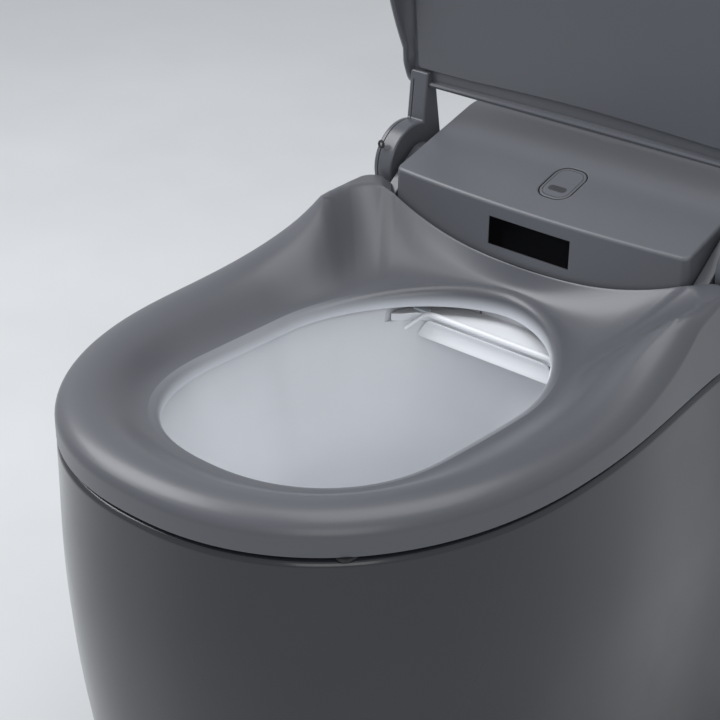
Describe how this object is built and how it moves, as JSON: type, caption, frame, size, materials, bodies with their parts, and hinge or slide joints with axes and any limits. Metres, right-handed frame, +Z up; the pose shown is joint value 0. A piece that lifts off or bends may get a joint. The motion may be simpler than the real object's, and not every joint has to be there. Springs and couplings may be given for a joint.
{
  "type": "smart toilet",
  "caption": "Floor-standing skirted toilet with a heated saddle seat, an open lid, a sensor cover with a top button, and spray nozzles behind a guard in the bowl.",
  "frame": {"origin": "bottom centre of the bounding box, on the floor", "axes": "+Z up, +Y towards the wall behind, +X to the right of a person who faces the toilet"},
  "size_m": [0.378, 0.6, 0.9243],
  "materials": {
    "ceramic": "gloss",
    "seat_plastic": "satin gloss",
    "lid_plastic": "satin gloss",
    "cover_plastic": "satin",
    "window": "gloss",
    "white_plastic": "satin",
    "lens": "clear",
    "rubber": "matt",
    "steel": "brushed",
    "brass": "machined",
    "black_plastic": "matt",
    "board": "satin",
    "heater_shell": "matt"
  },
  "bodies": {
    "pan": {"toilet_bowl": "ceramic", "trapway": "ceramic", "flush_channel": "ceramic", "top_cover": "cover_plastic", "sensor_window": "window", "base_tray": "cover_plastic", "hinge_shaft_left": "steel", "hinge_shaft_right": "steel", "hinge_bracket_left": "steel", "hinge_bracket_right": "steel", "damper_left": "black_plastic", "damper_right": "black_plastic", "nozzle_housing": "white_plastic", "night_light_lens": "lens", "nozzle_drive": "black_plastic", "circuit_board": "board", "water_heater": "heater_shell", "pump": "black_plastic", "solenoid_valve": "white_plastic", "water_inlet": "brass", "power_inlet": "black_plastic", "fan_housing": "black_plastic", "fan_motor": "steel", "dryer_duct": "white_plastic", "mounting_bolt_left": "steel", "mounting_bolt_right": "steel", "waste_sleeve": "rubber", "flush_seal": "rubber", "floor_bracket_left": "steel", "floor_bracket_right": "steel", "side_bolt_left": "steel", "side_bolt_right": "steel", "side_cap_left": "ceramic", "side_cap_right": "ceramic"},
    "seat": {"seat": "seat_plastic", "seat_base": "seat_plastic", "seat_buffer_front_left": "rubber", "seat_buffer_front_right": "rubber", "seat_buffer_back_left": "rubber", "seat_buffer_back_right": "rubber"},
    "lid": {"lid": "lid_plastic", "lid_liner": "lid_plastic", "lid_stop_left": "rubber", "lid_stop_right": "rubber"},
    "top_button": {"top_button": "cover_plastic"},
    "side_button_front": {"side_button_front": "white_plastic"},
    "side_button_rear": {"side_button_rear": "white_plastic"},
    "rear_nozzle": {"rear_nozzle": "white_plastic"},
    "front_nozzle": {"front_nozzle": "white_plastic"},
    "guard_flap": {"guard_flap": "white_plastic"},
    "fan_impeller": {"fan_impeller": "white_plastic"},
    "filter_cassette": {"filter_cassette": "cover_plastic"}
  },
  "joints": [
    {"name": "lid_hinge", "type": "hinge", "parent": "pan", "child": "lid", "pos_m": [0, 0.15, 0.472], "axis": [1, 0, 0], "range_deg": [0, 98]},
    {"name": "seat_hinge", "type": "hinge", "parent": "pan", "child": "seat", "pos_m": [0, 0.15, 0.472], "axis": [1, 0, 0], "range_deg": [-95, 0]},
    {"name": "top_button_press", "type": "slide", "parent": "pan", "child": "top_button", "axis": [0, 0.2334, -0.9724], "range_m": [0, 0.0025], "stiffness_N_per_m": 400, "springref_m": -0.002},
    {"name": "side_button_front_press", "type": "slide", "parent": "pan", "child": "side_button_front", "axis": [0, 0, -1], "range_m": [0, 0.0015], "stiffness_N_per_m": 400, "springref_m": -0.001},
    {"name": "side_button_rear_press", "type": "slide", "parent": "pan", "child": "side_button_rear", "axis": [0, 0, -1], "range_m": [0, 0.0015], "stiffness_N_per_m": 400, "springref_m": -0.001},
    {"name": "rear_nozzle_slide", "type": "slide", "parent": "pan", "child": "rear_nozzle", "axis": [0, -0.8829, -0.4695], "range_m": [0, 0.095]},
    {"name": "front_nozzle_slide", "type": "slide", "parent": "pan", "child": "front_nozzle", "axis": [0, -0.8829, -0.4695], "range_m": [0, 0.095]},
    {"name": "guard_hinge", "type": "hinge", "parent": "pan", "child": "guard_flap", "pos_m": [0, 0.0535, 0.395], "axis": [1, 0, 0], "range_deg": [-35, 0]},
    {"name": "fan_spin", "type": "hinge", "parent": "pan", "child": "fan_impeller", "pos_m": [0.08, 0.22, 0.451], "axis": [1, 0, 0], "continuous": true},
    {"name": "filter_slide", "type": "slide", "parent": "pan", "child": "filter_cassette", "axis": [1, 0, 0], "range_m": [0, 0.03]}
  ],
  "couplings": [
    {"joint": "guard_hinge", "follows": "rear_nozzle_slide", "rad_per_m": -6.4}
  ]
}
